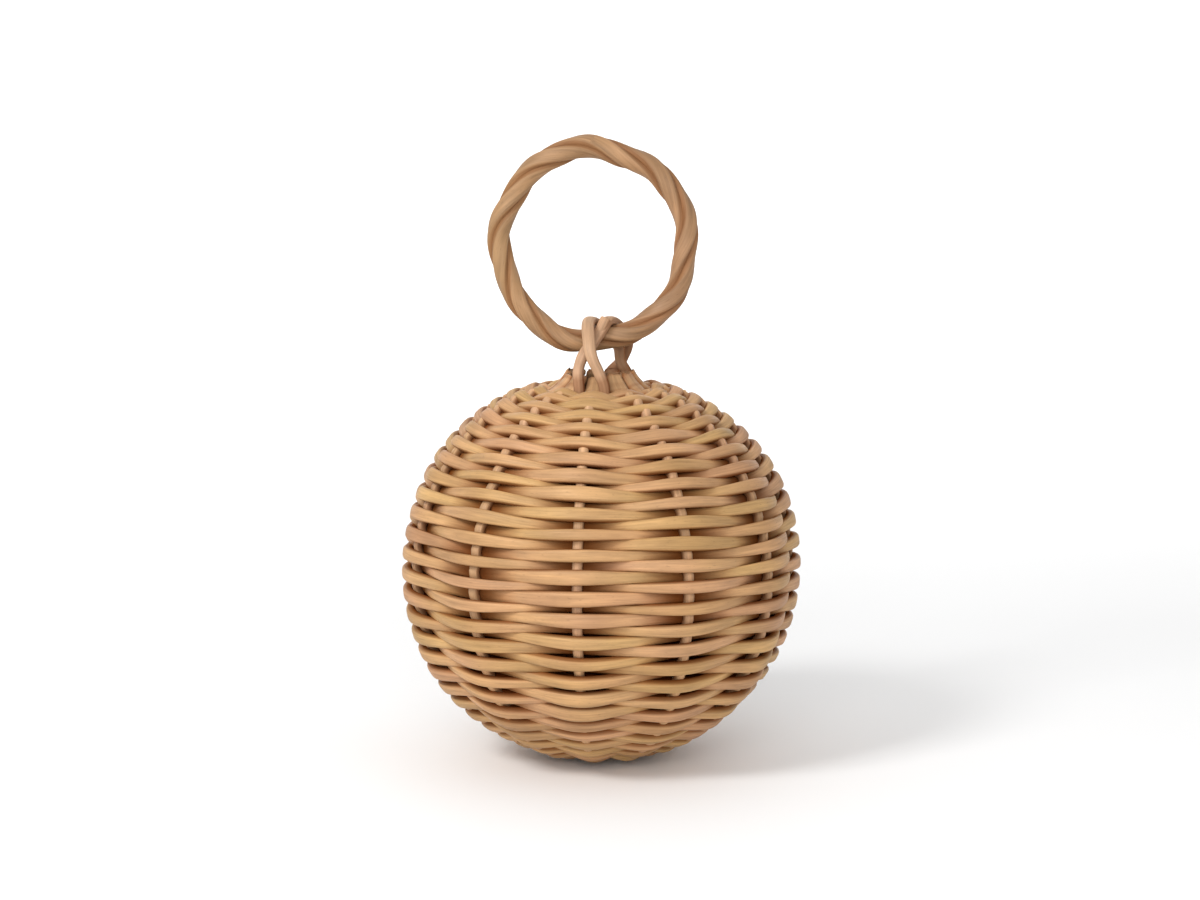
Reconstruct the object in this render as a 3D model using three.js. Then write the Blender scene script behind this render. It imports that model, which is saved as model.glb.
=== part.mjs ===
// A ball woven from round cane, with a twisted bail on its crown and a twisted ring linked through the bail.
// Millimetres, +Z up, front towards -Y. The origin is the middle of the underside, on the surface below.
// Longitudes are counted from the front, to the right; latitudes from the ball's middle, upwards.
import * as THREE from 'three';

// The shell: the surface that the stakes' centre lines follow, a sphere pressed a little flat at both ends.
const SHELL_RADIUS = 57.7;
const SHELL_CENTRE = 59.3;
const BASE_LEVEL = 4.0;
const BASE_EASE = 1.0;
const CROWN_LEVEL = 112.9;
const CROWN_EASE = 2.3;

// Stakes: eleven upright ribs. Each rod crosses under the ball and makes two of them; the last rod makes one.
const STAKE_COUNT = 11;
const STAKE_RADIUS = 1.5;
const STAKE_SIDES = 5;
const STAKE_CHORD_LIFT = 0.16;
const STAKE_FINE_STEP = THREE.MathUtils.degToRad(6);
const STAKE_FINE_STEPS = { low: 3, high: 2 };
const STAKE_COARSE_STEPS = 9;
const FIRST_STAKE = THREE.MathUtils.degToRad(-6.5);
const STAKE_STEP = (2 * Math.PI) / STAKE_COUNT;

// The cross of rods under the ball: three side by side over three side by side.
const CROSS_SPACING = 3.3;
const CROSS_REACH = 5.2;
const CROSS_GAP = 0.3;
const FAN_RADIUS = 10.8;

// Crown: inside the last row the stakes rise to a small collar, on a line that grows steeper. Its stops are
// shares of the way in from the bend and of the rise.
const COLLAR_RADIUS = 9.3;
const COLLAR_BEND_RADIUS = 15.4;
const COLLAR_TOP = 118.8;
const COLLAR_STOPS = [[0.36, 0.25], [0.66, 0.52], [0.87, 0.78], [1, 1]];

// The weaver: a spiral that climbs in front of one stake and behind the next. It is spliced from several
// canes, which meet end to end behind a stake; the gap between them is a share of a half bay.
const WEAVER_CANES = 5;
const WEAVER_TURNS = 50.3;
const WEAVER_FIRST_RADIUS = 12.0;
const WEAVER_LAST_RADIUS = 17.6;
const WEAVER_FRONT_HEIGHT = 3.8;
const WEAVER_BACK_HEIGHT = 3.4;
const WEAVER_CROSSING_HEIGHT = 2.85;
const WEAVER_OUTER = 1.3;
const WEAVER_INNER = 0.7;
const WEAVER_SWING = 2.7;
const STAKE_CLEARANCE = 0.9;
const SPLICE_GAP = 0.07;

// Ring: one cane wound three times round, twisted on itself, upright and facing the front.
const RING_HALF_WIDTH = 28.2;
const RING_HALF_HEIGHT = 29.1;
const RING_X = -2.0;
const RING_Z = 157.4;
const RING_WINDINGS = 3;
const RING_TWISTS = 10;
const RING_FIRST_TURN = THREE.MathUtils.degToRad(40);
const RING_STRAND_RADIUS = 1.6;
const RING_STRAND_OFFSET = 1.98;
const RING_STEPS = 76;

// Bail: two strands that twist once round each other in an arch over the crown. Each pair of legs stands
// astride a stake and hooks under the last row. The list runs from the front foot to the back foot, and has
// the middle line's radius, height and longitude in degrees, then the strands' turn round it in half turns
// and their distance from it.
const BAIL_STRAND_RADIUS = 1.55;
const BAIL_STEPS = 24;
const STRAND_SIDES = 5;
const BAIL_STOPS = [
  [19.5, 104.9, -9.3, 0, 3.85],
  [15.6, 105.7, -9.3, 0, 3.85],
  [13.9, 108.8, -9.3, 0, 3.85],
  [13.9, 115.9, -10.5, 0, 3.85],
  [13.9, 120.9, -15.0, 0.08, 3.3],
  [12.0, 127.4, -17.5, 0.5, 1.75],
  [0.1, 134.2, -90.0, 1, 2.3],
  [12.0, 127.8, 147.0, 1.22, 1.8],
  [13.9, 121.9, 151.0, 1.5, 1.72],
  [13.9, 116.4, 156.0, 1.93, 3.4],
  [13.9, 108.8, 157.1, 2, 3.5],
  [15.6, 105.7, 157.1, 2, 3.5],
  [19.5, 104.9, 157.1, 2, 3.5],
];

const CANE = { color: 0xc49a6c, roughness: 0.6, metalness: 0.0 };
const SHADED_CANE = { color: 0xa87a50, roughness: 0.7, metalness: 0.0 };
const RING_CANE = { color: 0xb98a58, roughness: 0.5, metalness: 0.0 };

// A body swept along stations. Each station has its place, an outward direction and an outline of
// [outwards, across] pairs. An open sweep gets flat ends. What would reach below the floor is pressed on it.
function sweep(stations, { loop = false, floor = -Infinity } = {}) {
  const count = stations.length;
  const sides = stations[0].outline.length;
  const positions = [];
  stations.forEach((station, i) => {
    const before = stations[loop ? (i + count - 1) % count : Math.max(i - 1, 0)];
    const after = stations[loop ? (i + 1) % count : Math.min(i + 1, count - 1)];
    const along = after.at.clone().sub(before.at).normalize();
    const out = station.out.clone().addScaledVector(along, -station.out.dot(along)).normalize();
    const across = along.clone().cross(out);
    for (const [a, b] of station.outline) {
      const corner = station.at.clone().addScaledVector(out, a).addScaledVector(across, b);
      positions.push(corner.x, corner.y, Math.max(corner.z, floor));
    }
  });
  const faces = [];
  const spans = loop ? count : count - 1;
  for (let i = 0; i < spans; i += 1) {
    for (let k = 0; k < sides; k += 1) {
      const a = i * sides + k;
      const b = i * sides + ((k + 1) % sides);
      const c = ((i + 1) % count) * sides + k;
      const d = ((i + 1) % count) * sides + ((k + 1) % sides);
      faces.push(a, b, c, b, d, c);
    }
  }
  if (!loop) {
    const last = (count - 1) * sides;
    for (let k = 1; k < sides - 1; k += 1) {
      faces.push(0, k + 1, k, last, last + k, last + k + 1);
    }
  }
  const geometry = new THREE.BufferGeometry();
  geometry.setAttribute('position', new THREE.Float32BufferAttribute(positions, 3));
  geometry.setIndex(faces);
  geometry.computeVertexNormals();
  return geometry;
}

// A regular outline with one flat side facing outwards.
function roundOutline(radius, sides) {
  return Array.from({ length: sides }, (_, k) => {
    const turn = ((k + 0.5) * 2 * Math.PI) / sides;
    return [radius * Math.cos(turn), radius * Math.sin(turn)];
  });
}

function outwardsAt(longitude, latitude) {
  const level = Math.cos(latitude);
  return new THREE.Vector3(level * Math.sin(longitude), -level * Math.cos(longitude), Math.sin(latitude));
}

// The shell's point at a longitude and latitude, moved outwards by lift.
function shellPoint(longitude, latitude, lift) {
  const point = outwardsAt(longitude, latitude).multiplyScalar(SHELL_RADIUS);
  const height = SHELL_CENTRE + point.z;
  const floored = (height + BASE_LEVEL + Math.hypot(height - BASE_LEVEL, BASE_EASE)) / 2;
  point.z = (floored + CROWN_LEVEL - Math.hypot(floored - CROWN_LEVEL, CROWN_EASE)) / 2;
  return point.addScaledVector(outwardsAt(longitude, latitude), lift);
}

function latitudeAtRadius(radius) {
  return Math.acos(radius / SHELL_RADIUS);
}

// The stations of one stake, from the cross under the ball to its end in the collar.
function stakeStations(number, crossPoint) {
  const longitude = FIRST_STAKE + number * STAKE_STEP;
  const outline = roundOutline(STAKE_RADIUS, STAKE_SIDES);
  const down = new THREE.Vector3(0, 0, -1);
  const stations = [{ at: crossPoint, out: down, outline }];
  const low = -latitudeAtRadius(FAN_RADIUS);
  const high = latitudeAtRadius(COLLAR_BEND_RADIUS);
  const fineSteps = STAKE_FINE_STEPS.low + STAKE_FINE_STEPS.high;
  const coarseStep = (high - low - fineSteps * STAKE_FINE_STEP) / STAKE_COARSE_STEPS;
  const latitudes = [low];
  for (let i = 0; i < STAKE_COARSE_STEPS + fineSteps; i += 1) {
    const fine = i < STAKE_FINE_STEPS.low || i >= STAKE_FINE_STEPS.low + STAKE_COARSE_STEPS;
    latitudes.push(latitudes[i] + (fine ? STAKE_FINE_STEP : coarseStep));
  }
  for (const latitude of latitudes) {
    const at = shellPoint(longitude, latitude, STAKE_CHORD_LIFT);
    stations.push({ at, out: outwardsAt(longitude, latitude), outline });
  }
  const aside = outwardsAt(longitude, 0);
  const bend = stations.at(-1).at;
  const rise = COLLAR_TOP - bend.z;
  for (const [inwards, upwards] of COLLAR_STOPS) {
    const radius = THREE.MathUtils.lerp(COLLAR_BEND_RADIUS, COLLAR_RADIUS, inwards);
    const at = aside.clone().multiplyScalar(radius).setZ(bend.z + upwards * rise);
    stations.push({ at, out: aside, outline });
  }
  return stations;
}

// Where a rod leaves the cross: heading is the way it runs, shift its place beside the middle rod.
function crossPoint(heading, shift, level) {
  const along = outwardsAt(heading, 0);
  const beside = outwardsAt(heading + Math.PI / 2, 0);
  const point = along.multiplyScalar(CROSS_REACH).addScaledVector(beside, shift * CROSS_SPACING);
  return point.setZ(level);
}

// Rods of the cross: the stake at each end (none on the short rod), the place in the layer, and the layer.
function rodGeometries() {
  const underside = STAKE_RADIUS * Math.cos(Math.PI / STAKE_SIDES);
  const layers = [underside, underside + 2 * STAKE_RADIUS + CROSS_GAP];
  const lowerHeading = FIRST_STAKE + 1.25 * STAKE_STEP;
  const upperHeading = lowerHeading + Math.PI / 2;
  const rods = [
    { heading: lowerHeading, level: layers[0], shift: -1, ends: [0, 8] },
    { heading: lowerHeading, level: layers[0], shift: 0, ends: [1, 7] },
    { heading: lowerHeading, level: layers[0], shift: 1, ends: [2, 6] },
    { heading: upperHeading, level: layers[1], shift: -1, ends: [3, 10] },
    { heading: upperHeading, level: layers[1], shift: 0, ends: [4, 9] },
    { heading: upperHeading, level: layers[1], shift: 1, ends: [5] },
  ];
  return rods.map(({ heading, level, shift, ends }) => {
    const near = crossPoint(heading, shift, level);
    const far = crossPoint(heading + Math.PI, -shift, level);
    const first = stakeStations(ends[0], near);
    if (ends.length === 1) {
      const stub = { ...first[0], at: far };
      return sweep([stub, ...first]);
    }
    return sweep([...stakeStations(ends[1], far).reverse(), ...first]);
  });
}

// The weaver's station at a place along the spiral, counted in half bays: even at a stake, odd midway between
// two, where neighbouring turns cross. side is 1 in front of a stake, 0 midway and -1 behind.
function weaverStation(place, halfBays) {
  const longitude = FIRST_STAKE - (place * STAKE_STEP) / 2;
  const low = -latitudeAtRadius(WEAVER_FIRST_RADIUS);
  const high = latitudeAtRadius(WEAVER_LAST_RADIUS);
  const latitude = THREE.MathUtils.lerp(low, high, place / halfBays);
  const side = Math.round(Math.cos((place * Math.PI) / 2));
  const halfBay = (SHELL_RADIUS * Math.cos(latitude) * STAKE_STEP) / 2;
  const swing = (WEAVER_SWING * halfBay) / (halfBay - STAKE_CLEARANCE);
  const lift = (WEAVER_INNER - WEAVER_OUTER) / 2 + side * swing;
  const heights = [WEAVER_BACK_HEIGHT, WEAVER_CROSSING_HEIGHT, WEAVER_FRONT_HEIGHT];
  const half = heights[side + 1] / 2;
  return {
    at: shellPoint(longitude, latitude, lift),
    out: outwardsAt(longitude, latitude),
    outline: [[WEAVER_OUTER, 0], [-WEAVER_INNER, half], [-WEAVER_INNER, -half]],
  };
}

// The weaver's canes, from the base up. Each but the last ends behind a stake, where the next one starts.
function weaverGeometries() {
  const halfBays = Math.round(WEAVER_TURNS * 2 * STAKE_COUNT);
  const splices = Array.from({ length: WEAVER_CANES + 1 }, (_, k) => {
    const even = (k * halfBays) / WEAVER_CANES;
    return k === 0 || k === WEAVER_CANES ? even : 4 * Math.round((even - 2) / 4) + 2;
  });
  return splices.slice(1).map((end, k) => {
    const places = [splices[k] + SPLICE_GAP / 2];
    for (let place = splices[k] + 1; place < end; place += 1) {
      places.push(place);
    }
    places.push(end - SPLICE_GAP / 2);
    return sweep(places.map((place) => weaverStation(place, halfBays)), { floor: 0 });
  });
}

// The ring's cane goes round three times, and closes on itself after the last winding.
function ringGeometry() {
  const outline = roundOutline(RING_STRAND_RADIUS, STRAND_SIDES);
  const stations = [];
  for (let i = 0; i < RING_STEPS; i += 1) {
    const around = (i * RING_WINDINGS * 2 * Math.PI) / RING_STEPS;
    const twist = RING_FIRST_TURN + (i * RING_TWISTS * 2 * Math.PI) / RING_STEPS;
    const away = new THREE.Vector3(Math.sin(around), 0, Math.cos(around));
    const out = away.clone().multiplyScalar(Math.cos(twist));
    out.y = -Math.sin(twist);
    const core = new THREE.Vector3(RING_HALF_WIDTH * away.x, 0, RING_HALF_HEIGHT * away.z);
    const at = core.addScaledVector(out, RING_STRAND_OFFSET);
    stations.push({ at, out, outline });
  }
  return sweep(stations, { loop: true });
}

// One strand of the bail: start is its place round the middle line at the front foot.
function bailStrandGeometry(start) {
  const places = BAIL_STOPS.map(([radius, height, longitude]) => {
    const away = outwardsAt(THREE.MathUtils.degToRad(longitude), 0);
    return away.multiplyScalar(radius).setZ(height);
  });
  const winds = BAIL_STOPS.map((stop) => new THREE.Vector2(stop[3] * Math.PI, stop[4]));
  const line = new THREE.CatmullRomCurve3(places, false, 'catmullrom', 0.5);
  const wind = new THREE.SplineCurve(winds);
  const outline = roundOutline(BAIL_STRAND_RADIUS, STRAND_SIDES);
  const frontHeading = THREE.MathUtils.degToRad(-BAIL_STOPS[0][2]);
  const backHeading = THREE.MathUtils.degToRad(180 - BAIL_STOPS.at(-1)[2]);
  const stations = [];
  for (let i = 0; i <= BAIL_STEPS; i += 1) {
    const share = i / BAIL_STEPS;
    const at = line.getPoint(share);
    const along = line.getTangent(share);
    const { x: turn, y: offset } = wind.getPoint(share);
    const heading = THREE.MathUtils.lerp(frontHeading, backHeading, share);
    const beside = new THREE.Vector3(Math.cos(heading), -Math.sin(heading), 0);
    const out = beside.clone().cross(along).normalize();
    at.addScaledVector(beside, offset * Math.cos(start + turn));
    at.addScaledVector(out, offset * Math.sin(start + turn));
    stations.push({ at, out, outline });
  }
  return sweep(stations);
}

function piece(name, geometry, finish) {
  const mesh = new THREE.Mesh(geometry, new THREE.MeshStandardMaterial(finish));
  mesh.name = name;
  return mesh;
}

const ball = new THREE.Group();
rodGeometries().forEach((geometry, i) => ball.add(piece(`rod_${i + 1}`, geometry, SHADED_CANE)));
weaverGeometries().forEach((geometry, i) => ball.add(piece(`weaver_${i + 1}`, geometry, CANE)));
ball.add(piece('bail_strand_1', bailStrandGeometry(0), CANE));
ball.add(piece('bail_strand_2', bailStrandGeometry(Math.PI), CANE));

const ring = piece('ring', ringGeometry(), RING_CANE);
ring.position.set(RING_X, 0, RING_Z);

const ornament = new THREE.Group();
ornament.add(ball, ring);

export default ornament;
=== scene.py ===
import math
import bpy
import numpy as np
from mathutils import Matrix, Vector


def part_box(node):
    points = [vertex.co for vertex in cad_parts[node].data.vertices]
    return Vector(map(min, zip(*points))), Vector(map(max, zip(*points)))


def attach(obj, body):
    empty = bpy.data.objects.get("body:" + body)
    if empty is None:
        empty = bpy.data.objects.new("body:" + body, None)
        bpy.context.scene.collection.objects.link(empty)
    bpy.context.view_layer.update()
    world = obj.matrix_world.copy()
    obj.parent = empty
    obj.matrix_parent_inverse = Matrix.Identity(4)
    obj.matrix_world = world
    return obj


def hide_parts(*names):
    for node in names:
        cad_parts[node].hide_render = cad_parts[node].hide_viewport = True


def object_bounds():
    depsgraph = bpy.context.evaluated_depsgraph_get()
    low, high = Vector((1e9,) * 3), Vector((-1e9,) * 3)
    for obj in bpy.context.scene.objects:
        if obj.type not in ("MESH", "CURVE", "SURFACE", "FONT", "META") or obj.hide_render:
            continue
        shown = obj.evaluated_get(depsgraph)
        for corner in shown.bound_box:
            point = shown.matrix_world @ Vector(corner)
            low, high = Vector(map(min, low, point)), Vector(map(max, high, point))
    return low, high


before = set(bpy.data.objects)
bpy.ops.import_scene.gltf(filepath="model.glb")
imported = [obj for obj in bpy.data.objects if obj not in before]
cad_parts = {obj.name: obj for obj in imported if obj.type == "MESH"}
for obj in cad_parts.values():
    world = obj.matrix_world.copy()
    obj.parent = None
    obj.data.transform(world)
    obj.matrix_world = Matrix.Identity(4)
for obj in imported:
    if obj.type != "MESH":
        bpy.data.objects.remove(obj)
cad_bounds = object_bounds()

# ---- Studio --------------------------------------------------------------------------------------
# A plain pale floor that curves up behind the ornament, in soft daylight from all round. The key lamp
# stands at the front left, a wider one in front fills its shadows, and a third lights the curved
# backdrop. The camera looks at the ring's full round, ten degrees down on the ball.
ball_low, ball_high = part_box("weaver_3")
ball_centre = Vector((0, 0, (ball_low[2] + ball_high[2]) / 2))
ornament_middle = Vector((0, 0, (cad_bounds[0][2] + cad_bounds[1][2]) / 2))

camera_data = bpy.data.cameras.new("camera")
camera_data.lens = 85
camera = bpy.data.objects.new("camera", camera_data)
bpy.context.collection.objects.link(camera)
camera_distance = 0.87
camera_lift = math.radians(10)
camera.location = ball_centre + camera_distance * Vector((0, -math.cos(camera_lift), math.sin(camera_lift)))
camera.rotation_euler = (ornament_middle - camera.location).to_track_quat("-Z", "Y").to_euler()
bpy.context.scene.camera = camera


def soft_lamp(name, place, aim, power, size):
    """A white square area lamp at place, turned towards aim."""
    light = bpy.data.lights.new(name, "AREA")
    light.energy = power
    light.size = size
    lamp = bpy.data.objects.new(name, light)
    lamp.location = place
    lamp.rotation_euler = (aim - lamp.location).to_track_quat("-Z", "Y").to_euler()
    bpy.context.collection.objects.link(lamp)


soft_lamp("key_lamp", Vector((-0.75, -0.75, 0.95)), ornament_middle, 9.5, 0.35)
soft_lamp("front_lamp", Vector((-0.10, -1.30, 0.55)), ornament_middle, 6.0, 0.6)
soft_lamp("backdrop_lamp", Vector((0.0, 1.2, 1.8)), Vector((0.0, 3.2, 0.7)), 45.0, 1.6)

daylight = bpy.data.worlds.new("daylight")
daylight.use_nodes = True
daylight.node_tree.nodes["Background"].inputs["Color"].default_value = (1.0, 1.0, 1.0, 1)
daylight.node_tree.nodes["Background"].inputs["Strength"].default_value = 0.70
bpy.context.scene.world = daylight
bpy.context.scene.view_settings.view_transform = "Standard"

# The floor's profile runs level, turns up in a wide quarter round and ends upright.
floor_front = -2.5
floor_back = 2.2
floor_turn = 1.0
floor_height = 3.0
floor_half_width = 3.5
turn_angles = np.linspace(0, np.pi / 2, 25)
turn_y = floor_back + floor_turn * np.sin(turn_angles)
turn_z = floor_turn * (1 - np.cos(turn_angles))
profile_y = np.concatenate([[floor_front], turn_y, [floor_back + floor_turn]])
profile_z = np.concatenate([[0.0], turn_z, [floor_height]])
floor_points = [(side * floor_half_width, y, z) for y, z in zip(profile_y, profile_z) for side in (-1, 1)]
floor_faces = [(2 * i, 2 * i + 1, 2 * i + 3, 2 * i + 2) for i in range(len(profile_y) - 1)]
floor_mesh = bpy.data.meshes.new("floor")
floor_mesh.from_pydata(floor_points, [], floor_faces)
floor_mesh.shade_smooth()
floor = bpy.data.objects.new("floor", floor_mesh)
bpy.context.collection.objects.link(floor)
floor_paint = bpy.data.materials.new("floor_paint")
floor_paint.use_nodes = True
floor_paint.node_tree.nodes["Principled BSDF"].inputs["Base Color"].default_value = (0.92, 0.92, 0.92, 1)
floor_paint.node_tree.nodes["Principled BSDF"].inputs["Roughness"].default_value = 0.75
floor_mesh.materials.append(floor_paint)

# ---- Weaver --------------------------------------------------------------------------------------
# One cane that climbs in a spiral from base to crown, in front of one stake and behind the next. It is
# peeled rattan core about 3.5 mm high and 3 mm thick, spliced from five canes that meet end to end
# behind stakes. Nothing fixes it: each turn lies pressed on the one below, and the stakes grip it.
STAKES = 11
FIRST_STAKE = math.radians(-6.5)
STAKE_STEP = 2 * math.pi / STAKES
SHELL_RADIUS = 0.0577
SHELL_CENTRE = 0.0593
# the ball is pressed a little flat at these heights, with this much rounding
BASE_LEVEL = 0.0040
BASE_EASE = 0.0010
CROWN_LEVEL = 0.1129
CROWN_EASE = 0.0023


def outwards_at(longitude, latitude):
    """Unit vectors away from the ball's centre, with longitude counted from the front, to the right:
    x = cos(latitude) sin(longitude), y = -cos(latitude) cos(longitude), z = sin(latitude)."""
    longitude, latitude = np.broadcast_arrays(longitude, latitude)
    level = np.cos(latitude)
    return np.stack([level * np.sin(longitude), -level * np.cos(longitude), np.sin(latitude)], -1)


def shell_point(longitude, latitude, lift):
    """Points on a sphere, pressed flat at base and crown, then moved outwards by lift. A height h is
    kept above a level as (h + level + hypot(h - level, ease)) / 2, and below one with a minus before
    the root."""
    away = outwards_at(longitude, latitude)
    point = SHELL_RADIUS * away
    height = SHELL_CENTRE + point[..., 2]
    height = (height + BASE_LEVEL + np.hypot(height - BASE_LEVEL, BASE_EASE)) / 2
    height = (height + CROWN_LEVEL - np.hypot(height - CROWN_LEVEL, CROWN_EASE)) / 2
    point[..., 2] = height
    return point + away * np.asarray(lift)[..., None]


def smooth_line(points, step):
    """A Catmull-Rom line through rows of points, read off again every step along its first three
    columns. From row b to row c, with a before and d after them, it is half of 2b + (c - a)t + (2a - 5b
    + 4c - d)t^2 + (3b - 3c + d - a)t^3 as t goes from 0 to 1."""
    ends = 2 * points[[0, -1]] - points[[1, -2]]
    p = np.vstack([ends[:1], points, ends[1:]])
    a, b, c, d = p[:-3, None], p[1:-2, None], p[2:-1, None], p[3:, None]
    t = np.linspace(0, 1, 16, endpoint=False)[None, :, None]
    line = 0.5 * (2 * b + (c - a) * t + (2 * a - 5 * b + 4 * c - d) * t**2 + (3 * b - 3 * c + d - a) * t**3)
    line = np.vstack([line.reshape(-1, points.shape[1]), points[-1:]])
    length = np.concatenate([[0], np.cumsum(np.linalg.norm(np.diff(line[:, :3], axis=0), axis=1))])
    stops = np.linspace(0, length[-1], max(2, round(length[-1] / step) + 1))
    return np.stack([np.interp(stops, length, column) for column in line.T], -1)


def wander(place, seed, lengths):
    """A slow random wave between about -1 and 1: the sum of a sine of each length, each with a random
    phase, over the square root of their number."""
    phases = np.random.default_rng(seed).uniform(0, 2 * np.pi, len(lengths))
    waves = [np.sin(2 * np.pi * place / length + phase) for length, phase in zip(lengths, phases)]
    return sum(waves) / len(lengths) ** 0.5


RIDGE_DEPTH = 0.03
GRAIN_RADIUS = 0.0015


def cane(
    name, path, outwards, half_out, half_across, sides, seed, tone, depth,
    inward_shade=0.0, edge_shade=0.4, closed=False, squareness=0.7, torn=0.0,
):
    """A cane: an oval carried along a path. With a the angle round it and e = squareness, a point lies
    half_out sign(cos a) |cos a|^e outwards and half_across sign(sin a) |sin a|^e sideways from the
    path, times 1 + RIDGE_DEPTH times lengthwise ridges: the sum of cos(m a + a slowly wandering phase)
    / m for m of 3, 5 and 7. An open cane shrinks to 0.80 and 0.94 of its width over its last third of a
    step, and the points round its ends are moved lengthwise by up to torn, at random. What would reach
    below the floor is pressed flat on it. The grain's coordinates are a point on a circle of
    GRAIN_RADIUS and the length along the cane. Tone and the darkening towards dark brown, which is
    painted shade with a little random mottle, are given at each station. The darkening goes towards
    the inward value by 0.3 - cos a on the inward side, as painted shade, and grows by the edge value
    times |sin a|^8 on the two edges, as painted shade where the cane lies against its neighbours."""
    count = len(path)
    values = (half_out, half_across, tone, depth, inward_shade)
    table = np.hstack([path, outwards] + [np.broadcast_to(value, count)[:, None] for value in values])
    if closed:
        along = np.roll(path, -1, 0) - np.roll(path, 1, 0)
        end_scale = np.ones(count)
    else:
        spots = np.concatenate([[0, 0.1, 0.3], np.arange(1, count - 1), count - 1 - np.array([0.3, 0.1, 0])])
        stations = np.arange(count)
        along = np.gradient(path, axis=0)
        table = np.stack([np.interp(spots, stations, column) for column in table.T], -1)
        along = np.stack([np.interp(spots, stations, column) for column in along.T], -1)
        end_scale = np.ones(len(spots))
        end_scale[[0, 1, -2, -1]] = (0.80, 0.94, 0.94, 0.80)
        count = len(spots)
    path, outwards = table[:, :3], table[:, 3:6]
    half_out, half_across, tone, depth, inward_shade = (column[:, None] for column in table[:, 6:].T)
    along = along / np.linalg.norm(along, axis=1, keepdims=True)
    out = outwards - along * np.sum(outwards * along, axis=1, keepdims=True)
    out /= np.linalg.norm(out, axis=1, keepdims=True)
    across = np.cross(along, out)
    steps = np.linalg.norm(np.diff(path, axis=0), axis=1)
    length = np.concatenate([[0], np.cumsum(steps)])[:, None]
    a = (np.arange(sides) + 0.5)[None, :] * 2 * np.pi / sides
    draw = np.random.default_rng(seed)
    ridges = sum(
        np.cos(m * a + draw.uniform(0, 6.28) + 0.6 * wander(length, seed + m, [0.021, 0.047])) / m
        for m in (3, 5, 7)
    )
    ridge_strength = 1 + 0.5 * wander(length, seed + 9, [0.013, 0.029])
    swell = (1 + RIDGE_DEPTH * ridges * ridge_strength) * end_scale[:, None]
    cos, sin = np.cos(a), np.sin(a)
    x = half_out * np.sign(cos) * np.abs(cos) ** squareness * swell
    y = half_across * np.sign(sin) * np.abs(sin) ** squareness * swell
    grid = path[:, None] + out[:, None] * x[..., None] + across[:, None] * y[..., None]
    for end, way in ((0, -1), (-1, 1)):
        grid[end] += way * along[end] * torn * draw.uniform(-1, 1, (sides, 1))
    grid[..., 2] = np.maximum(grid[..., 2], 0.0)
    grain = np.stack(np.broadcast_arrays(GRAIN_RADIUS * cos, GRAIN_RADIUS * sin, length), -1)
    # painted shade on the inward side and on the edges, added to the given darkening
    inward = np.clip(0.3 - cos, 0, 1)
    shade_brown = np.clip(depth + (inward_shade - depth) * inward * (inward_shade > 0) + edge_shade * np.abs(sin) ** 8, 0, 1)

    rings = np.arange(count if closed else count - 1)[:, None]
    first, second = np.arange(sides)[None, :], (np.arange(sides)[None, :] + 1) % sides
    nexts = (rings + 1) % count
    corners = [rings * sides + first, rings * sides + second, nexts * sides + second, nexts * sides + first]
    faces = np.stack(np.broadcast_arrays(*corners), -1).reshape(-1, 4).tolist()
    points = grid.reshape(-1, 3)
    if not closed:
        last = (count - 1) * sides
        faces += [list(range(sides))[::-1], list(range(last, last + sides))]
    mesh = bpy.data.meshes.new(name)
    mesh.from_pydata(points, [], faces)
    mesh.shade_smooth()
    mesh.attributes.new("grain", "FLOAT_VECTOR", "POINT").data.foreach_set("vector", grain.ravel())
    tones = np.broadcast_to(tone, x.shape)
    mesh.attributes.new("tone", "FLOAT", "POINT").data.foreach_set("value", tones.ravel())
    mesh.attributes.new("depth", "FLOAT", "POINT").data.foreach_set("value", shade_brown.ravel())
    piece = bpy.data.objects.new(name, mesh)
    bpy.context.collection.objects.link(piece)
    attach(piece, "root")
    return piece


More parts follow.
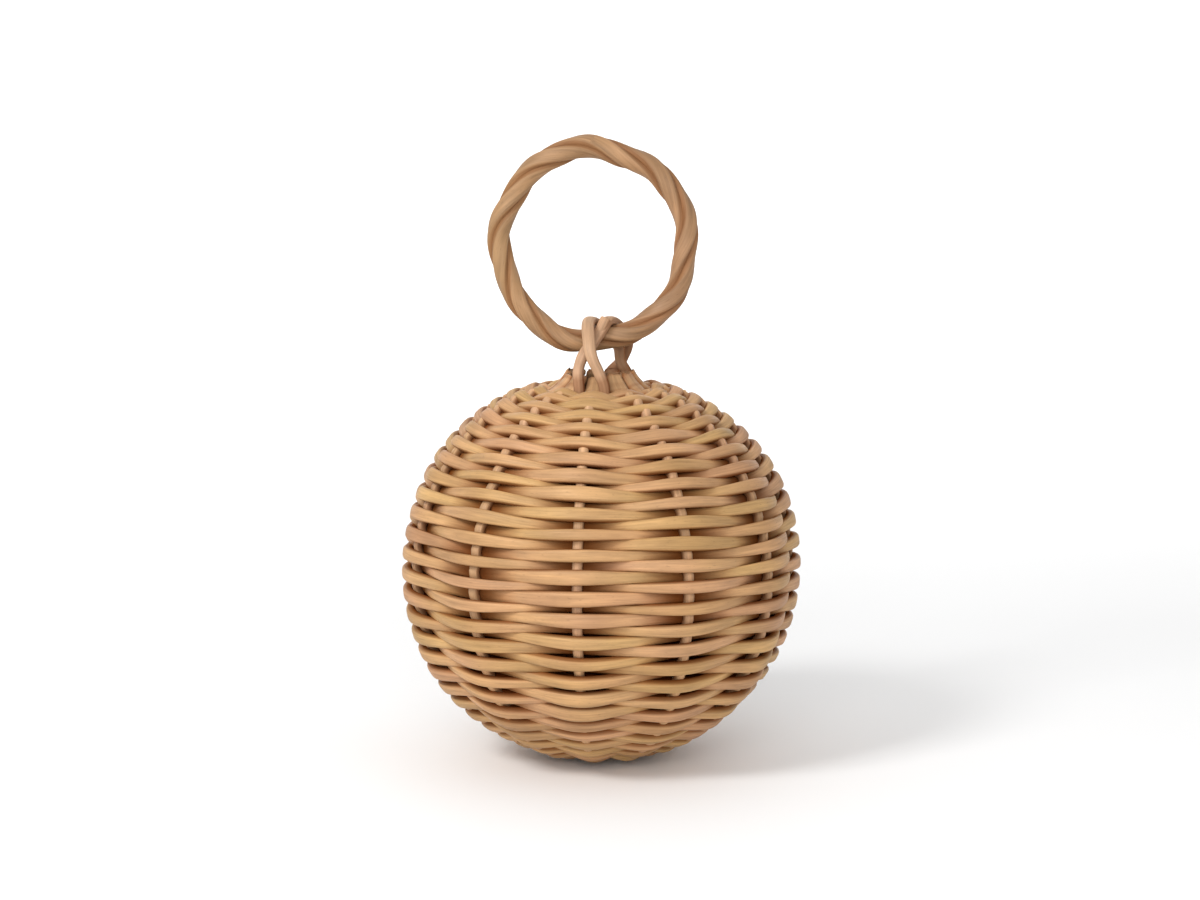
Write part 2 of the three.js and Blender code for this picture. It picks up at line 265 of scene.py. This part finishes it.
def cane_surface():
    """Node group for peeled rattan core. Colour drifts from honey to rose with the tone and a slow
    noise, is lighter and darker in long patches, streaked lengthwise by two stretched noises and dotted
    with short dark pores, and sinks to a dark brown with the darkening input, which is painted shade in
    recesses and seams with a little random mottle. Gloss fades with that darkening. Height is the
    fibres' relief."""
    group = bpy.data.node_groups.new("cane_surface", "ShaderNodeTree")
    face = group.interface
    for label, kind, value in (
        ("Grain", "NodeSocketVector", (0, 0, 0)),
        ("Tone", "NodeSocketFloat", 0.5),
        ("Depth", "NodeSocketFloat", 0.0),
        ("Honey", "NodeSocketColor", (0.55, 0.34, 0.15, 1)),
        ("Rose", "NodeSocketColor", (0.54, 0.30, 0.18, 1)),
        ("Deep", "NodeSocketColor", (0.18, 0.05, 0.011, 1)),
    ):
        face.new_socket(label, in_out="INPUT", socket_type=kind).default_value = value
    face.new_socket("Colour", in_out="OUTPUT", socket_type="NodeSocketColor")
    for label in ("Roughness", "Gloss", "Height"):
        face.new_socket(label, in_out="OUTPUT", socket_type="NodeSocketFloat")
    nodes = group.nodes
    links = group.links
    given = nodes.new("NodeGroupInput")
    made = nodes.new("NodeGroupOutput")

    def stretched_noise(across, lengthwise, detail):
        """A noise whose grains are across wide and lengthwise long, in metres, in grain coordinates."""
        scaled = nodes.new("ShaderNodeVectorMath")
        scaled.operation = "MULTIPLY"
        scaled.inputs[1].default_value = (1 / across, 1 / across, 1 / lengthwise)
        links.new(given.outputs["Grain"], scaled.inputs[0])
        noise = nodes.new("ShaderNodeTexNoise")
        noise.inputs["Scale"].default_value = 1.0
        noise.inputs["Detail"].default_value = detail
        links.new(scaled.outputs[0], noise.inputs["Vector"])
        return noise.outputs[0]

    def spread(value, low, high, to_low, to_high):
        """value from low..high is carried to to_low..to_high, and clamped."""
        node = nodes.new("ShaderNodeMapRange")
        for socket, number in zip(node.inputs[1:5], (low, high, to_low, to_high)):
            socket.default_value = number
        links.new(value, node.inputs[0])
        return node.outputs[0]

    def combine(operation, first, second):
        """first and second added or multiplied, as operation says; each is a number or an output."""
        node = nodes.new("ShaderNodeMath")
        node.operation = operation
        for socket, value in zip(node.inputs, (first, second)):
            if isinstance(value, float):
                socket.default_value = value
            else:
                links.new(value, socket)
        return node.outputs[0]

    def blend(kind, share, first, second):
        """Two colours: with MIX, first goes over into second by share; with MULTIPLY, by their
        product."""
        node = nodes.new("ShaderNodeMix")
        node.data_type = "RGBA"
        node.blend_type = kind
        share_and_colours = (node.inputs[0], node.inputs[6], node.inputs[7])
        for socket, value in zip(share_and_colours, (share, first, second)):
            if hasattr(value, "is_output"):
                links.new(value, socket)
            else:
                socket.default_value = value
        return node.outputs[2]

    fibres = stretched_noise(0.00022, 0.009, 4.0)
    streaks = stretched_noise(0.0009, 0.022, 3.0)
    pores = stretched_noise(0.00016, 0.0016, 2.0)
    drift = stretched_noise(0.02, 0.035, 2.0)
    patches = stretched_noise(0.003, 0.014, 2.0)
    tone = combine("ADD", given.outputs["Tone"], spread(drift, 0.3, 0.7, -0.35, 0.35))
    colour = blend("MIX", spread(tone, 0.0, 1.0, 0.0, 1.0), given.outputs["Honey"], given.outputs["Rose"])
    light = spread(streaks, 0.3, 0.7, 0.80, 1.14)
    light = combine("MULTIPLY", light, spread(fibres, 0.3, 0.7, 0.85, 1.09))
    light = combine("MULTIPLY", light, spread(patches, 0.35, 0.65, 0.88, 1.08))
    light = combine("MULTIPLY", light, spread(pores, 0.62, 0.74, 1.0, 0.8))
    grey = nodes.new("ShaderNodeCombineColor")
    for socket in grey.inputs[:3]:
        links.new(light, socket)
    colour = blend("MULTIPLY", 1.0, colour, grey.outputs[0])
    # painted shade: the colour goes over into dark brown by the darkening input
    colour = blend("MIX", given.outputs["Depth"], colour, given.outputs["Deep"])
    links.new(colour, made.inputs["Colour"])
    links.new(spread(fibres, 0.3, 0.7, 0.62, 0.48), made.inputs["Roughness"])
    links.new(spread(given.outputs["Depth"], 0.0, 0.7, 0.35, 0.0), made.inputs["Gloss"])
    relief = combine("ADD", combine("MULTIPLY", fibres, 0.5), streaks)
    links.new(combine("ADD", relief, spread(pores, 0.62, 0.74, 0.0, -0.3)), made.inputs["Height"])
    return group


CANE_SURFACE = cane_surface()


def cane_material(name, honey, rose, shade_brown, relief):
    """A cane finish: the shared surface with its own colours, the last of them the dark brown of painted
    shade and mottle; relief is the fibres' height in metres."""
    material = bpy.data.materials.new(name)
    material.use_nodes = True
    nodes = material.node_tree.nodes
    links = material.node_tree.links
    shader = nodes["Principled BSDF"]
    surface = nodes.new("ShaderNodeGroup")
    surface.node_tree = CANE_SURFACE
    for label, value in (("Honey", honey), ("Rose", rose), ("Deep", shade_brown)):
        surface.inputs[label].default_value = (*value, 1)
    for label, output in (("Grain", "Vector"), ("Tone", "Fac"), ("Depth", "Fac")):
        reader = nodes.new("ShaderNodeAttribute")
        reader.attribute_name = label.lower()
        links.new(reader.outputs[output], surface.inputs[label])
    bump = nodes.new("ShaderNodeBump")
    bump.inputs["Strength"].default_value = 0.6
    bump.inputs["Distance"].default_value = relief
    links.new(surface.outputs["Height"], bump.inputs["Height"])
    links.new(surface.outputs["Colour"], shader.inputs["Base Color"])
    links.new(surface.outputs["Roughness"], shader.inputs["Roughness"])
    links.new(surface.outputs["Gloss"], shader.inputs["Specular IOR Level"])
    links.new(bump.outputs["Normal"], shader.inputs["Normal"])
    return material


WEAVER_TURNS = 51.2
WEAVER_CANES = 5
SPLICE_HALF_GAP = 0.035
WEAVER_FIRST_RADIUS = 0.0120
WEAVER_LAST_RADIUS = 0.0150
WEAVER_HALF_THICKNESS = 0.0015
STAKE_HALF_THICKNESS = 0.0013
STAKE_CLEARANCE = 0.0003
PRESSED_IN = 0.0001
# Places along the weaver are counted in half bays, each half the way from one stake to the next.
HALF_BAYS = round(WEAVER_TURNS * 2 * STAKES)
WEAVER_LOW = -math.acos(WEAVER_FIRST_RADIUS / SHELL_RADIUS)
WEAVER_HIGH = math.acos(WEAVER_LAST_RADIUS / SHELL_RADIUS)
TURN_PITCH = (WEAVER_HIGH - WEAVER_LOW) / HALF_BAYS * 2 * STAKES * SHELL_RADIUS
STATIONS_PER_HALF_BAY = 9
EDGE_WANDER = 0.00024
EDGE_LENGTHS = [5.3, 9.1, 14.7, 37.0]
ROW_DRIFT = 0.0005
FRONT_SAG = 0.0018
BEND_SHARPNESS = 0.06
ROW_FILL = 1.03
FRONT_SPREAD = 0.19
BACK_SPREAD = 0.36
WEAVER_CANE = cane_material(
    "weaver_cane", (0.525, 0.315, 0.125), (0.52, 0.285, 0.142), (0.19, 0.045, 0.005), 0.00014
)


def row_edge(place):
    """How far a row's lower edge lies off its even spiral: a slow wander of EDGE_WANDER, which grows in
    a straight line to 1.8 times that from a third of the way up down to the base."""
    growth = 1 + 0.8 * np.clip(1 - place / (0.35 * HALF_BAYS), 0, 1)
    return EDGE_WANDER * growth * wander(place, 7, EDGE_LENGTHS)


def stake_give(latitude):
    """How far a stake is pushed out of line at each row: 0.4 mm, and 1.4 mm towards base and crown,
    where the bays are short and the weaver is too stiff to bend round it. It rises as 3 s^2 - 2 s^3,
    where s goes from 0 to 1 as the latitude goes from 0.45 to 1.05."""
    share = np.clip((np.abs(latitude) - 0.45) / 0.6, 0, 1)
    return 0.0004 + 0.0010 * share**2 * (3 - 2 * share)


def splice_place(number):
    """The place where the weaver's nth cane ends: n even shares of the whole, moved to the nearest
    place behind a stake, which is 2 more than a multiple of 4."""
    even = number * HALF_BAYS / WEAVER_CANES
    return even if number in (0, WEAVER_CANES) else 4 * round((even - 2) / 4) + 2


for number in range(1, WEAVER_CANES + 1):
    start = splice_place(number - 1) + SPLICE_HALF_GAP
    end = splice_place(number) - SPLICE_HALF_GAP
    place = np.linspace(start, end, round((end - start) * STATIONS_PER_HALF_BAY))
    longitude = FIRST_STAKE - place * STAKE_STEP / 2
    latitude = WEAVER_LOW + (WEAVER_HIGH - WEAVER_LOW) * place / HALF_BAYS
    # neighbouring rows drift up and down together, and the last ones sag a little at the front
    height_in_ball = np.sin(latitude)
    together = ROW_DRIFT * np.cos(latitude) * (
        np.sin(2 * longitude + 4 * height_in_ball + 1.0)
        + 0.7 * np.sin(5 * longitude - 7 * height_in_ball + 2.1)
    )
    near_crown = np.clip((latitude - 0.5) / 0.5, 0, 1)
    together = together - FRONT_SAG * near_crown * (0.5 + 0.5 * np.cos(longitude))
    # the turns lie on one another: each fills the room between its lower edge and that of the next
    lower = row_edge(place)
    upper = row_edge(place + 2 * STAKES)
    latitude = latitude + (together + (lower + upper) / 2) / SHELL_RADIUS
    # 1 in front of a stake and -1 behind it; the last end stays behind its stake
    side = np.cos(place * np.pi / 2) + BEND_SHARPNESS * np.cos(place * 3 * np.pi / 2)
    side = np.where(place > HALF_BAYS - 1, -1 - BEND_SHARPNESS, side)
    in_front = np.clip(side, 0, 1)
    behind = np.clip(-side, 0, 1)
    half_bay = SHELL_RADIUS * np.cos(latitude) * STAKE_STEP / 2
    swing = WEAVER_HALF_THICKNESS + STAKE_HALF_THICKNESS - PRESSED_IN - stake_give(latitude)
    swing = swing * half_bay / (half_bay - STAKE_CLEARANCE) * (1 + 0.04 * wander(place, 11, [4.4, 11.3]))
    lift = side * swing
    path = shell_point(longitude, latitude, lift)
    half_height = ROW_FILL * (TURN_PITCH + upper - lower) / 2 * (1 + lift / SHELL_RADIUS)
    half_height *= 1 + FRONT_SPREAD * in_front**1.2 + BACK_SPREAD * behind**0.8
    tone = 0.5 + 0.5 * wander(place, 17, [9.3, 23.7, 61.0])
    # painted shade: the weaver darkens where it passes behind the stakes, over a slight random brown mottle
    depth = 0.8 * behind**1.2 + 0.07 + 0.05 * wander(place, 29, [7.7, 19.1])
    # the lowest turns rest on the floor at most
    path[:, 2] = np.maximum(path[:, 2], WEAVER_HALF_THICKNESS)
    # its flat face leans up or down a little as it goes
    leaning = latitude + 0.13 * wander(place, 23, [6.1, 13.7])
    # its inward side and its edges get painted shade as well
    weaver = cane(
        f"weaver_{number}_cane", path, outwards_at(longitude, leaning), WEAVER_HALF_THICKNESS, half_height,
        16, 200 + number, tone, depth, inward_shade=0.9, squareness=0.55,
    )
    weaver.data.materials.append(WEAVER_CANE)
    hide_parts(f"weaver_{number}")

# ---- Stakes --------------------------------------------------------------------------------------
# Eleven upright ribs of 3 mm rattan core. Five long rods and a short one cross under the ball, three
# over three, and turn up along the ball. The weaver holds them; their cut ends are pressed flat and
# wide and lean together in a collar on the crown.
STAKE_RADIUS = 0.0015
# the stakes' colours are a little lighter than the weaver's: painted light that makes up for the shade they
# lie in between the rows
STAKE_CANE_PAINTED_LIGHTER = cane_material(
    "stake_cane", (0.58, 0.35, 0.17), (0.58, 0.33, 0.18), (0.19, 0.045, 0.005), 0.00012
)

CROSS_SPACING = 0.0033
CROSS_REACH = 0.0052
CROSS_GAP = 0.0003
FAN_RADIUS = 0.0108
COLLAR_RADIUS = 0.0093
COLLAR_BEND_RADIUS = 0.0154
# shares of the way from the bend to the collar's top, inwards and upwards
COLLAR_STOPS = ((0.36, 0.25), (0.66, 0.52), (0.87, 0.78), (1.0, 1.0))
COLLAR_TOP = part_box("rod_1")[1][2] - 0.0011
COLLAR_UNEVENNESS = 0.0006
CROSS_LEVELS = (STAKE_RADIUS, 3 * STAKE_RADIUS + CROSS_GAP)
RIB_STOPS = 170
FLATTENING_START = 0.0166
FLATTENING_REACH = 0.0040
STUB_FILL = 0.93
STUB_ROUGHNESS = 0.04


def stake_line(number, start_point):
    """Rows of point and outward direction: from the cross, up a meridian of the shell and into the
    collar. Where rows pass it, a cosine with one half wave a turn pushes it out of line, away from the
    row's side."""
    longitude = FIRST_STAKE + number * STAKE_STEP
    low = -math.acos(FAN_RADIUS / SHELL_RADIUS)
    high = math.acos(COLLAR_BEND_RADIUS / SHELL_RADIUS)
    latitudes = np.linspace(low, high, RIB_STOPS)
    place = (latitudes - WEAVER_LOW) / (WEAVER_HIGH - WEAVER_LOW) * HALF_BAYS
    woven = (latitudes > WEAVER_LOW + 0.05) & (latitudes < WEAVER_HIGH - 0.02)
    row_side = np.cos(np.pi * ((place + 2 * number) / (2 * STAKES) + number))
    push = -stake_give(latitudes) * row_side * woven
    rib = np.hstack([shell_point(longitude, latitudes, push), outwards_at(longitude, latitudes)])
    aside = outwards_at(longitude, 0.0)
    bend = rib[-1, 2]
    top = COLLAR_TOP + COLLAR_UNEVENNESS * wander(float(number), 41, [2.3, 5.1])
    collar = []
    for inwards, upwards in COLLAR_STOPS:
        point = (COLLAR_BEND_RADIUS + inwards * (COLLAR_RADIUS - COLLAR_BEND_RADIUS)) * aside
        point[2] = bend + upwards * (top - bend)
        collar.append(np.concatenate([point, aside + [0, 0, 1 - upwards]]))
    start = np.concatenate([start_point, [0, 0, -1]])
    return np.vstack([start, rib, collar])


def cross_point(heading, shift, level):
    """Where a rod leaves the cross: CROSS_REACH along its heading and shift spacings beside the middle
    rod."""
    point = CROSS_REACH * outwards_at(heading, 0.0)
    point += shift * CROSS_SPACING * outwards_at(heading + math.pi / 2, 0.0)
    point[2] = level
    return point


LOWER_HEADING = FIRST_STAKE + 1.25 * STAKE_STEP
UPPER_HEADING = LOWER_HEADING + math.pi / 2
# node, heading, level, places beside the middle rod, and the stakes that its two ends make
RODS = (
    ("rod_1", LOWER_HEADING, CROSS_LEVELS[0], -1, (0, 8)),
    ("rod_2", LOWER_HEADING, CROSS_LEVELS[0], 0, (1, 7)),
    ("rod_3", LOWER_HEADING, CROSS_LEVELS[0], 1, (2, 6)),
    ("rod_4", UPPER_HEADING, CROSS_LEVELS[1], -1, (3, 10)),
    ("rod_5", UPPER_HEADING, CROSS_LEVELS[1], 0, (4, 9)),
    ("rod_6", UPPER_HEADING, CROSS_LEVELS[1], 1, (5,)),
)
for order, (node, heading, level, shift, ends) in enumerate(RODS):
    near = cross_point(heading, shift, level)
    far = cross_point(heading + math.pi, -shift, level)
    rising = stake_line(ends[0], near)
    if len(ends) == 2:
        falling = stake_line(ends[1], far)[::-1]
    else:
        falling = np.concatenate([far, [0, 0, -1]])[None]
    line = smooth_line(np.vstack([falling, rising]), 0.0009)
    # the ends are pressed flat, wide and rough inside the last row, until they close up in the collar
    to_axis = np.linalg.norm(line[:, :2], axis=1)
    pressed = np.clip((FLATTENING_START - to_axis) / FLATTENING_REACH, 0, 1) * (line[:, 2] > SHELL_CENTRE)
    stations = np.arange(len(line)) * 1.0
    rough = pressed * wander(stations, 140 + order, [2.3, 3.7, 6.1])
    stub_half_width = math.pi / STAKES * to_axis * (STUB_FILL + STUB_ROUGHNESS * rough)
    half_across = STAKE_RADIUS * 1.03 * (1 - pressed) + stub_half_width * pressed
    half_out = STAKE_HALF_THICKNESS * (1 - 0.08 * pressed)
    tone = 0.5 + 0.3 * wander(stations, 60 + order, [70.0, 160.0]) + 0.2 * rough
    # the pressed ends are painted darker, painted shade inside the last row, and mottled darker where rough;
    # the inward side gets painted shade
    depth = 0.15 * pressed + 0.3 * np.clip(rough, 0, 1)
    rod = cane(
        node + "_cane", line[:, :3], line[:, 3:], half_out, half_across, 16, 100 + order, tone, depth,
        inward_shade=0.6 - 0.4 * pressed, squareness=0.8, torn=0.0008,
    )
    rod.data.materials.append(STAKE_CANE_PAINTED_LIGHTER)
    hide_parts(node)

# ---- Bail ----------------------------------------------------------------------------------------
# Two strands of 3 mm rattan core that twist once round each other in an arch over the crown. Each pair
# of legs stands astride a stake, goes down inside the last row and hooks under it, which is all that
# holds the bail.
BAIL_STRAND_RADIUS = 0.00155
# From the front foot over the crown to the back foot: the middle line's distance from the ball's axis,
# its height and its longitude in degrees, the strands' turn round it in half turns, and their distance
# from it.
BAIL_STOPS = np.array([
    (0.0195, 0.1049, -9.3, 0.00, 0.00385),
    (0.0156, 0.1057, -9.3, 0.00, 0.00385),
    (0.0139, 0.1088, -9.3, 0.00, 0.00385),
    (0.0139, 0.1159, -10.5, 0.00, 0.00385),
    (0.0139, 0.1209, -15.0, 0.08, 0.00320),
    (0.0120, 0.1274, -17.5, 0.38, 0.00190),
    (0.0001, 0.1342, -90.0, 1.00, 0.00230),
    (0.0120, 0.1278, 147.0, 1.22, 0.00180),
    (0.0139, 0.1219, 151.0, 1.50, 0.00172),
    (0.0139, 0.1164, 156.0, 1.93, 0.00340),
    (0.0139, 0.1088, 157.1, 2.00, 0.00350),
    (0.0156, 0.1057, 157.1, 2.00, 0.00350),
    (0.0195, 0.1049, 157.1, 2.00, 0.00350),
])
CUT_END_FROM = 0.42
CUT_END_TO = 0.475
BAIL_CANE = cane_material(
    "bail_cane", (0.53, 0.34, 0.19), (0.50, 0.29, 0.17), (0.19, 0.06, 0.016), 0.00014
)

bail_places = BAIL_STOPS[:, :1] * outwards_at(np.radians(BAIL_STOPS[:, 2]), 0.0)
bail_places[:, 2] = BAIL_STOPS[:, 1]
bail_share = np.linspace(0, 1, len(BAIL_STOPS))
bail_line = smooth_line(np.column_stack([bail_places, BAIL_STOPS[:, 3:], bail_share]), 0.0005)
bail_along = np.gradient(bail_line[:, :3], axis=0)
front_heading = -BAIL_STOPS[0, 2]
back_heading = 180 - BAIL_STOPS[-1, 2]
heading = np.radians(front_heading + (back_heading - front_heading) * bail_line[:, 5])
beside = np.stack([np.cos(heading), -np.sin(heading), 0 * heading], -1)
bail_out = np.cross(beside, bail_along)
bail_out /= np.linalg.norm(bail_out, axis=1, keepdims=True)
for number, first_turn in ((1, 0.0), (2, math.pi)):
    # a strand lies offset from the middle line, cos(turn) of it beside the line and sin(turn) outwards
    turn = first_turn + math.pi * bail_line[:, 3]
    offset = bail_line[:, 4]
    path = bail_line[:, :3] + beside * (offset * np.cos(turn))[:, None]
    path = path + bail_out * (offset * np.sin(turn))[:, None]
    # it is painted darker at its feet and on the back legs: painted shade where it goes down into the ball
    # and on the far side of the arch
    foot_shade = np.clip((0.1195 - path[:, 2]) / 0.004, 0, 0.5)
    back_shade = 0.35 * np.clip((path[:, 1] - 0.001) / 0.008, 0, 1)
    depth = np.minimum(foot_shade + back_shade, 0.5)
    # it is pressed flat and wide where it twists round the other strand
    flat = np.clip((path[:, 2] - 0.1225) / 0.005, 0, 1)
    half_out = BAIL_STRAND_RADIUS * (1 - 0.1 * flat)
    half_across = BAIL_STRAND_RADIUS * (1.05 + 0.2 * flat)
    strand = cane(
        f"bail_strand_{number}_cane", path, bail_out, half_out, half_across, 20, 300 + number,
        0.4 + 0.2 * number, depth, squareness=0.75,
    )
    strand.data.materials.append(BAIL_CANE)
    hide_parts(f"bail_strand_{number}")

# the second strand's cut end stands up beside the arch, in a straight line
end_station = round(CUT_END_FROM * len(path))
end_start = path[end_station]
end_tip = path[round(CUT_END_TO * len(path))] + [0.0003, -0.0008, 0.0016]
end_places = end_start + np.linspace(-0.1, 1.0, 14)[:, None] * (end_tip - end_start)
end_out = np.broadcast_to(bail_out[end_station], end_places.shape)
cut_end = cane(
    "bail_cut_end", end_places, end_out, BAIL_STRAND_RADIUS * 0.9, BAIL_STRAND_RADIUS * 1.05, 20, 310,
    0.7, 0.1, squareness=0.75, torn=0.0004,
)
cut_end.data.materials.append(BAIL_CANE)

# ---- Ring ----------------------------------------------------------------------------------------
# One rattan cane wound three times round and twisted on itself, so that it shows as three strands. It
# hangs in the bail as a loose link, and stands upright here with its full round to the front.
ring_low, ring_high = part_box("ring")
ring_centre = np.array([(ring_low[0] + ring_high[0]) / 2, 0.0, (ring_low[2] + ring_high[2]) / 2])
RING_HALF_WIDTH = 0.0282
RING_HALF_HEIGHT = 0.0291
RING_WINDINGS = 3
RING_TWISTS = 10
RING_FIRST_TURN = math.radians(40)
RING_STRAND_OFFSET = 0.00190
RING_STRAND_HALF_OUT = 0.00150
RING_STRAND_HALF_ACROSS = 0.00230
RING_WAVES = 0.00040
RING_STATIONS = 1080
RING_CANE = cane_material(
    "ring_cane", (0.355, 0.205, 0.094), (0.345, 0.187, 0.093), (0.17, 0.045, 0.006), 0.00014
)

step = np.arange(RING_STATIONS) / RING_STATIONS
around = step * RING_WINDINGS * 2 * math.pi
# each winding lies RING_STRAND_OFFSET from the ring's core, at an angle that turns evenly round it
twist = RING_FIRST_TURN + step * RING_TWISTS * 2 * math.pi
away = np.stack([np.sin(around), 0 * around, np.cos(around)], -1)
ring_out = away * np.cos(twist)[:, None] - np.array([0, 1.0, 0]) * np.sin(twist)[:, None]
# the wound cane is a little angular: its round has shallow waves, the same for all three windings
waves = np.cos(5 * around + 1.1) + 0.8 * np.cos(9 * around + 0.4) + 0.6 * np.cos(3 * around + 2.0)
half_sizes = np.array([RING_HALF_WIDTH, 0, RING_HALF_HEIGHT])
core = ring_centre + away * (half_sizes + RING_WAVES * waves[:, None])
# its inward side and its edges are painted darker: painted shade in the seams between the windings
ring = cane(
    "ring_cane_wound", core + RING_STRAND_OFFSET * ring_out, ring_out, RING_STRAND_HALF_OUT,
    RING_STRAND_HALF_ACROSS, 20, 400, 0.5 + 0.4 * np.sin(3 * 2 * math.pi * step), 0.0,
    inward_shade=0.3, edge_shade=0.35, closed=True, squareness=0.65,
)
ring.data.materials.append(RING_CANE)
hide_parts("ring")
